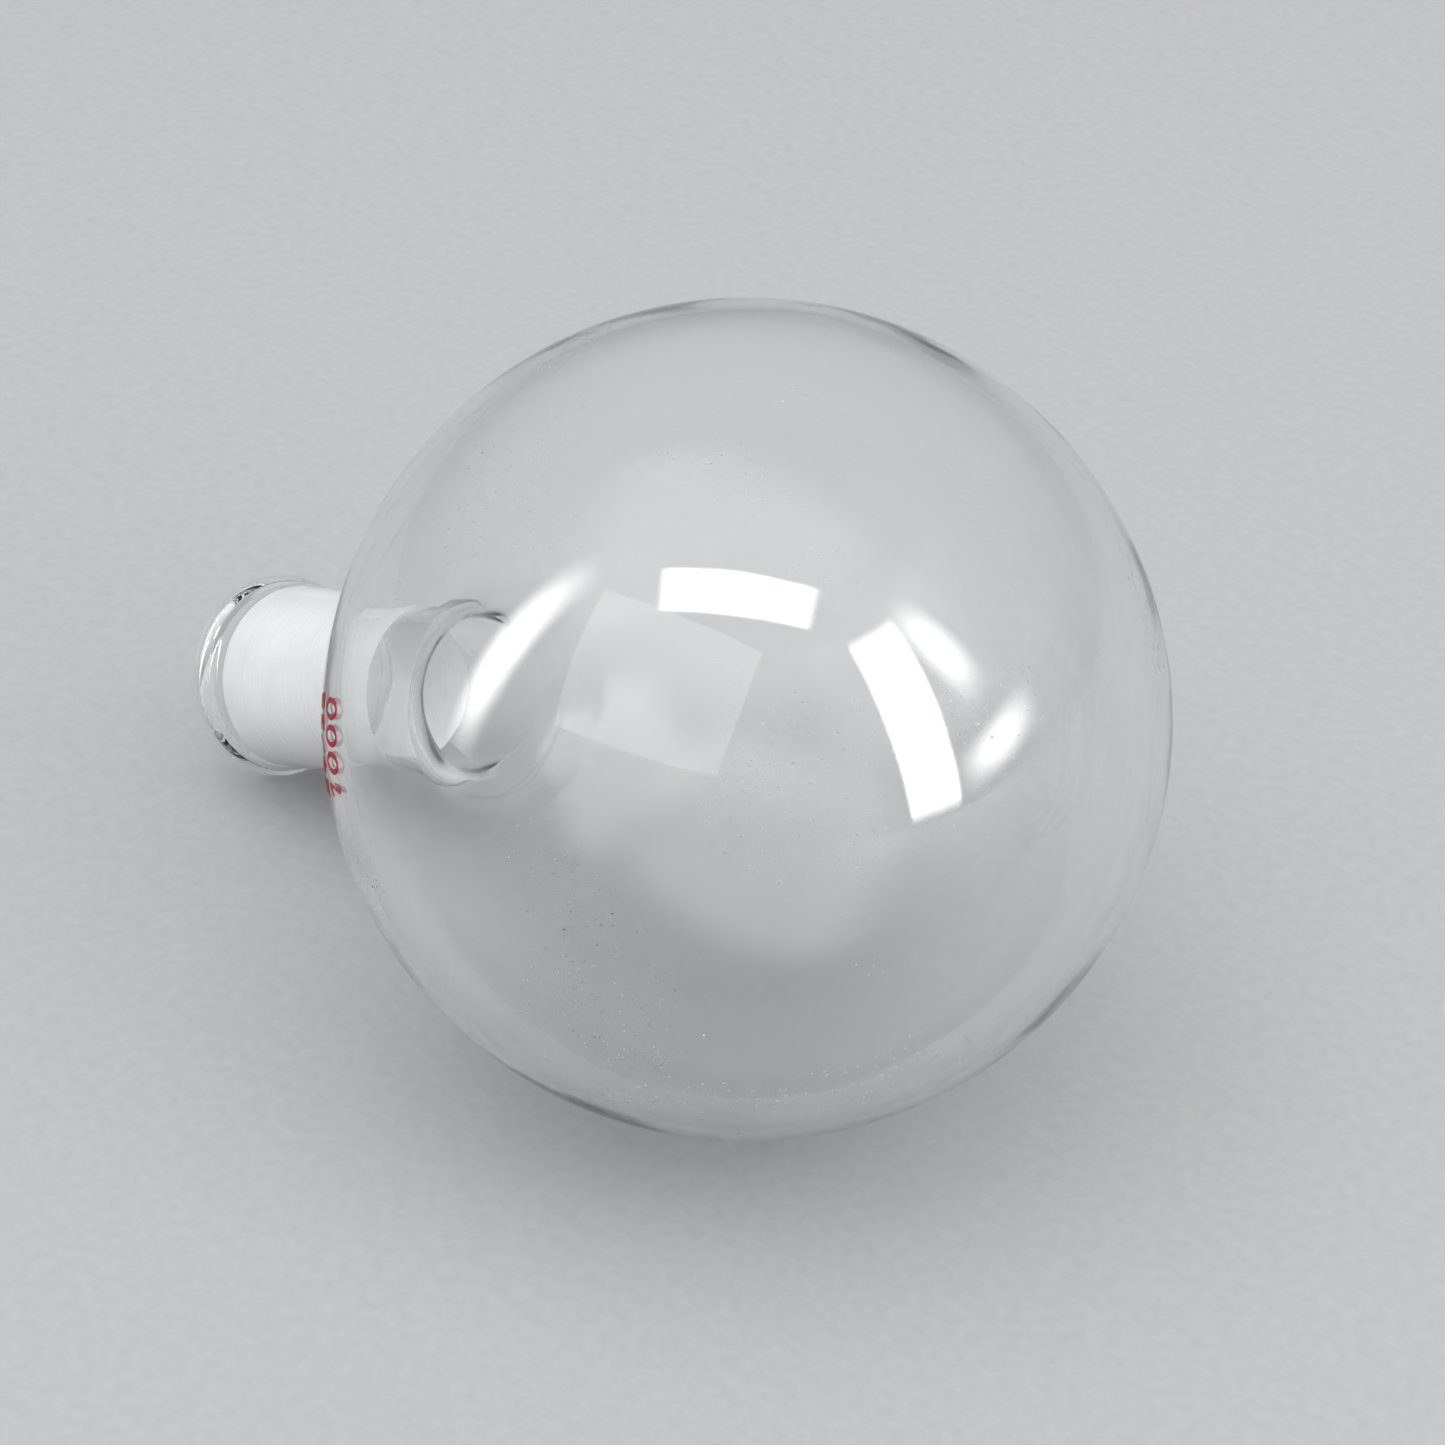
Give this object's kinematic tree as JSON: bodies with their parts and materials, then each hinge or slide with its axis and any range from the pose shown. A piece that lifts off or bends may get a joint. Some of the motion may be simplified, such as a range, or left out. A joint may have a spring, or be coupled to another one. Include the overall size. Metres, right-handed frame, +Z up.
{
  "type": "round bottom flask",
  "caption": "Clear glass round bottom flask with one neck, a conical ground socket with a rolled bead, and red volume print.",
  "frame": {"origin": "middle of the flask's footprint, on the table that it lies on", "axes": "+Z is up. The neck points along -X and slopes 21.9 degrees down, so that the bulb and the rim both rest on the table. The print is on the -Y side."},
  "size_m": [0.1962, 0.131, 0.1314],
  "materials": {
    "clear_glass": "clear blown borosilicate glass, polished",
    "ground_glass": "clear glass tube with a fine-ground, translucent conical bore",
    "red_enamel": "fired red enamel print, satin"
  },
  "bodies": {
    "root": {"bulb": "clear_glass", "ground_socket": "ground_glass", "mark_volume_1": "red_enamel", "mark_volume_2": "red_enamel", "mark_volume_3": "red_enamel", "mark_volume_4": "red_enamel", "mark_size_1": "red_enamel", "mark_size_2": "red_enamel", "mark_size_3": "red_enamel", "mark_size_4": "red_enamel", "mark_size_5": "red_enamel"}
  },
  "joints": []
}
